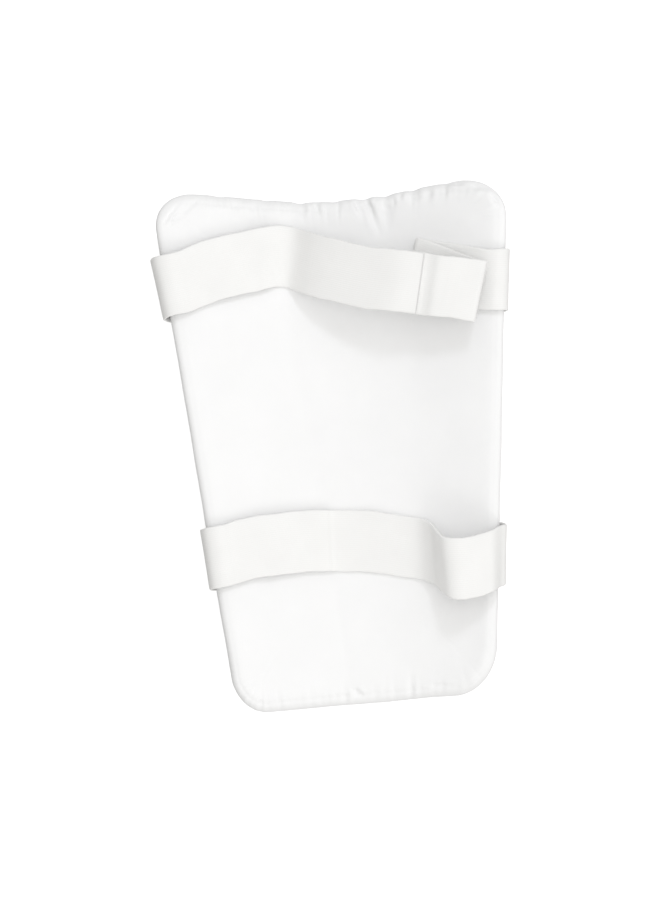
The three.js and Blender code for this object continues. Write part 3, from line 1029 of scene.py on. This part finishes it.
def make_pad(offset, neighbours):
    """The padded panel: rings of skin, moved by seam, wrinkles, filling and the pieces on it."""
    levels = pad_rings(rim_steps=34, inside_steps=26)
    rings = [pad_ring(inset, side) for inset, side in levels]
    count = len(rings[0])
    points = np.vstack(rings)
    faces = tube_faces(len(rings), count)
    for ring, turned in ((0, True), (len(rings) - 1, False)):
        round_it = range(ring * count, (ring + 1) * count)
        faces.append(tuple(reversed(round_it)) if turned else tuple(round_it))
    piece = make_mesh("thigh_guard_pad", points, faces)
    finish_shape(piece)
    out = normals(piece.data)

    draw = np.random.default_rng(PAD_SEED)
    walk, spans = outline_walk(rings[len(rings) // 2])
    walk = np.tile(walk, len(rings))
    inset = np.repeat([level[0] for level in levels], count)
    side = np.repeat([level[1] for level in levels], count)
    turn = np.arcsin(np.clip(side, -1, 1))
    seam_turn = math.acos(1 - SEAM_INSET / RIM_DEPTH)
    rim_arc = (RIM_DEPTH + PAD_THICKNESS / 2) / 2
    beyond = np.maximum(0, inset - RIM_DEPTH)
    from_seam = (turn - seam_turn) * rim_arc + np.where(side > 0, beyond, -beyond)
    on_back = smoothstep(side, 0.15, 0.75)
    moved = -seam_depths(walk, spans) * np.exp(-((from_seam / SEAM_WIDTH) ** 2))
    moved -= crease_depths(points[:, :2]) * on_back
    moved -= fold_depths(points[:, :2]) * on_back
    moved -= pucker_depths(walk, spans, from_seam, draw)
    moved += soft_noise(points, *BROAD_NOISE, draw)
    moved += soft_noise(points, *FINE_NOISE, draw)
    swell = inflated(points, faces, out)
    swell = np.clip(swell - np.median(swell), -MOST_SWELL, MOST_SWELL)
    swell = spread(swell, len(rings), count, *SWELL_SMOOTHING)
    moved += swell * (1 - RIM_HOLD * np.cos(turn) ** 2)
    points = points + out * moved[:, None] + offset
    push = pressed_under(points, out, neighbours)
    soft = spread(push, len(rings), count, *DENT_SMOOTHING)
    points -= out * np.maximum(push, soft)[:, None]
    points[:, 2] = np.maximum(points[:, 2], 0)
    move_to(piece.data, points)
    return piece


def shift_to_cad():
    """From the pad's own middle to where its node lies."""
    low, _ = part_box("pad")
    own_low = pad_ring(0, 0.0).min(0)
    return np.array([low[0] - own_low[0], low[1] - own_low[1], 0])


# Touch-fastener patches
PATCHES = {
    "upper_fastener_patch": {"across": 0.66, "up": 0.58},
    "lower_fastener_patch": {"across": 0.63, "up": -0.4402},
}


# Rings of a patch: inset from its outline, and level as a share of its thickness
PATCH_RINGS = (
    {"inset": 0.2 * MM, "level": 0.0},
    {"inset": 0, "level": 0.0},
    {"inset": 0, "level": 0.6},
    {"inset": 0.35 * MM, "level": 0.92},
    {"inset": 1.2 * MM, "level": 1.0},
    {"inset": 9 * MM, "level": 0.97},
)
PATCH_STEPS = 40
PATCH_SQUARENESS = 8


def make_patch(node, offset):
    """A patch of loop tape that hugs the front of the pad, with round corners and edges."""
    place = PATCHES[node]
    middle = on_pad(place["across"], place["up"], FRONT)[0]
    rings = []
    for level in PATCH_RINGS:
        half = np.array([PATCH_LENGTH / 2 - level["inset"], PATCH_WIDTH / 2 - level["inset"]])
        turn = np.arange(PATCH_STEPS) * 2 * math.pi / PATCH_STEPS
        power = 2 / PATCH_SQUARENESS
        flat = np.column_stack([
            np.sign(np.cos(turn)) * np.abs(np.cos(turn)) ** power,
            np.sign(np.sin(turn)) * np.abs(np.sin(turn)) ** power,
        ]) * half
        ring = []
        for dx, dy in flat:
            x = middle[0] + dx
            skin, out = on_pad(x / half_width_at(middle[1]), place["up"], FRONT)
            ring.append(skin + out * (GAP + PATCH_THICKNESS * level["level"]) + [0, dy, 0])
        rings.append(np.array(ring))
    points = np.vstack(rings) + offset
    faces = tube_faces(len(rings), PATCH_STEPS)
    faces.append(tuple(range(PATCH_STEPS))[::-1])
    faces.append(tuple(range((len(rings) - 1) * PATCH_STEPS, len(rings) * PATCH_STEPS)))
    piece = make_mesh("loop_tape_" + node, points, faces)
    finish_shape(piece)
    return piece


# Stitches. The box lies between two lengths from the strap's sewn end, and in from its edges.
STITCH_LENGTH = 2.6 * MM
STITCH_SPACE = 1.0 * MM
THREAD_RADIUS = 0.28 * MM
STITCH_FROM_EDGE = 3 * MM
SEWN_FROM = 3 * MM
SEWN_TO = 22 * MM


def make_stitches(name, rows, outs):
    """Small rounded stitches that dip into the cloth at both ends."""
    sides, along_steps = 6, 6
    points, faces = [], []
    for (start, end), out in zip(rows, outs):
        along = unit(end - start)
        beside = unit(np.cross(along, out))
        first = len(points)
        for i in range(along_steps + 1):
            share = i / along_steps
            bow = math.sin(math.pi * share)
            middle = lerp(start, end, share) + out * THREAD_RADIUS * (1.1 * bow - 0.6)
            radius = THREAD_RADIUS * (0.45 + 0.55 * bow)
            for k in range(sides):
                angle = 2 * math.pi * k / sides
                points.append(middle + (beside * math.cos(angle) + out * math.sin(angle)) * radius)
        for face in tube_faces(along_steps + 1, sides):
            faces.append(tuple(first + n for n in face))
        faces.append(tuple(range(first, first + sides))[::-1])
        faces.append(tuple(range(first + along_steps * sides, first + (along_steps + 1) * sides)))
    piece = make_mesh(name, points, faces)
    finish_shape(piece)
    return piece


def strap_end_stitches(name, samples, offset):
    """A box with a cross, sewn through the end of a strap, on its outer face."""
    start, end = SEWN_FROM, SEWN_TO
    half = STRAP_WIDTH / 2 - STITCH_FROM_EDGE

    def place(length, across):
        n = int(np.argmin(np.abs(samples["length"] - length)))
        outer = samples["out"][n] * STRAP_THICKNESS / 2
        return samples["middle"][n] + samples["width"][n] * across + outer + offset, samples["out"][n]

    lines = [
        [(start, -half), (end, -half), (end, half), (start, half), (start, -half)],
        [(start, -half), (end, half)],
        [(start, half), (end, -half)],
    ]
    rows, outs = [], []
    for line in lines:
        for (a, b), (c, d) in zip(line, line[1:]):
            run = math.hypot(c - a, d - b)
            count = max(1, round(run / (STITCH_LENGTH + STITCH_SPACE)))
            for i in range(count):
                low, high = (i + 0.14) / count, (i + 0.86) / count
                first, out = place(lerp(a, c, low), lerp(b, d, low))
                last, _ = place(lerp(a, c, high), lerp(b, d, high))
                rows.append((first, last))
                outs.append(out)
    return make_stitches(name, rows, outs)


def dress(piece, material, slot, *nodes):
    """Gives a piece its material, hides the model's parts that it stands for, and hangs it on the root
    body.
    """
    piece.data.materials.append(material)
    if nodes:
        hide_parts(*nodes)
    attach(piece, "root")
    return piece


offset = shift_to_cad()
make_camera()
make_lights()
make_floor()
webbing = webbing_material()
thread = thread_material()
loop_tape = loop_tape_material()

upper = sample_route(UPPER_ROUTE, UPPER_LOOP_HEIGHT)
lower = sample_route(LOWER_ROUTE, LOWER_LOOP_HEIGHT)
whole_tab = part_of(upper, upper["cut"] - JOIN_OVERLAP, upper["length"][-1])
upper_strap = ribbon("elastic_upper_strap", part_of(upper, 0, upper["cut"]), 1, offset)
upper_tab = ribbon("elastic_upper_tab", sunk_under(whole_tab), 2, offset)
lower_strap = ribbon("elastic_lower_strap", ridged(lower), 3, offset)
dress(upper_strap, webbing, "webbing", "upper_strap")
dress(upper_tab, webbing, "webbing", "upper_strap_tab")
dress(lower_strap, webbing, "webbing", "lower_strap")

patches = [dress(make_patch(node, offset), loop_tape, "touch_fastener", node) for node in PATCHES]

for name, samples in (("upper", upper), ("lower", lower)):
    stitches = strap_end_stitches(f"stitches_{name}_strap", samples, offset)
    dress(stitches, thread, "webbing")

pad = make_pad(offset, [upper_strap, upper_tab, lower_strap, *patches])
dress(pad, cover_material(), "cover", "pad")
